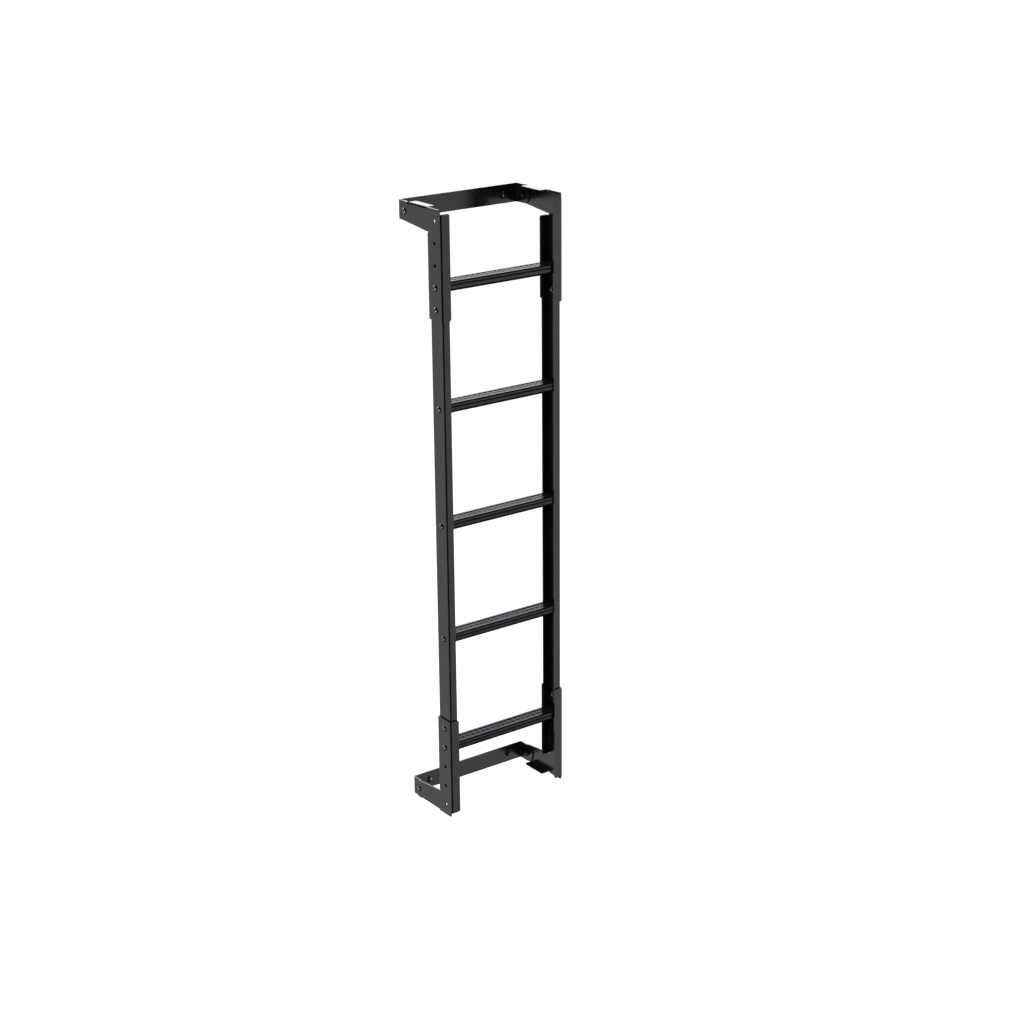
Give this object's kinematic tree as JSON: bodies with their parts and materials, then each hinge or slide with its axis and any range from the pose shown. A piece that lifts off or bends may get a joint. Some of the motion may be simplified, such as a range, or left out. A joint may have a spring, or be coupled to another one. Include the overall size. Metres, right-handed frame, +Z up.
{
  "type": "vehicle ladder",
  "caption": "Narrow fixed climbing ladder for a vehicle: channel stiles, ribbed rungs and sliding bolt-on stand-off brackets with cross bars.",
  "frame": {"origin": "centre of the rear face of the bottom cross bar, where it lies on the vehicle", "axes": "+X along the rungs, +Y towards the vehicle, +Z up"},
  "size_m": [0.3448, 0.17, 1.474],
  "materials": {
    "stile_coat": "satin powder coat",
    "bracket_coat": "satin powder coat",
    "bar_coat": "satin powder coat",
    "rung_black": "black anodised, ribbed tread",
    "bolt_steel": "zinc plated"
  },
  "bodies": {
    "bottom_mount": {"bracket_bottom_left": "bracket_coat", "bracket_bottom_right": "bracket_coat", "cross_bar_bottom": "bar_coat", "end_bolt_bottom_left": "bolt_steel", "end_bolt_bottom_right": "bolt_steel", "leg_bolt_bottom_left": "bolt_steel", "leg_bolt_bottom_right": "bolt_steel", "tab_bolt_bottom_left": "bolt_steel", "tab_bolt_bottom_right": "bolt_steel", "tab_nut_bottom_left": "bolt_steel", "tab_nut_bottom_right": "bolt_steel"},
    "ladder": {"stile_left": "stile_coat", "stile_right": "stile_coat", "rung_1": "rung_black", "rung_2": "rung_black", "rung_3": "rung_black", "rung_4": "rung_black", "rung_5": "rung_black", "rung_bolt_2_left": "bolt_steel", "rung_bolt_2_right": "bolt_steel", "rung_bolt_3_left": "bolt_steel", "rung_bolt_3_right": "bolt_steel", "rung_bolt_4_left": "bolt_steel", "rung_bolt_4_right": "bolt_steel", "leg_nut_top_left": "bolt_steel", "leg_nut_top_right": "bolt_steel", "leg_nut_bottom_left": "bolt_steel", "leg_nut_bottom_right": "bolt_steel"},
    "top_mount": {"bracket_top_left": "bracket_coat", "bracket_top_right": "bracket_coat", "cross_bar_top": "bar_coat", "end_bolt_top_left": "bolt_steel", "end_bolt_top_right": "bolt_steel", "leg_bolt_top_left": "bolt_steel", "leg_bolt_top_right": "bolt_steel", "tab_bolt_top_left": "bolt_steel", "tab_bolt_top_right": "bolt_steel", "tab_nut_top_left": "bolt_steel", "tab_nut_top_right": "bolt_steel"}
  },
  "joints": [
    {"name": "ladder_on_bottom_mount", "type": "slide", "parent": "bottom_mount", "child": "ladder", "axis": [0, 0, 1], "range_m": [-0.15, 0]},
    {"name": "top_mount_on_ladder", "type": "slide", "parent": "ladder", "child": "top_mount", "axis": [0, 0, 1], "range_m": [-0.15, 0]}
  ]
}
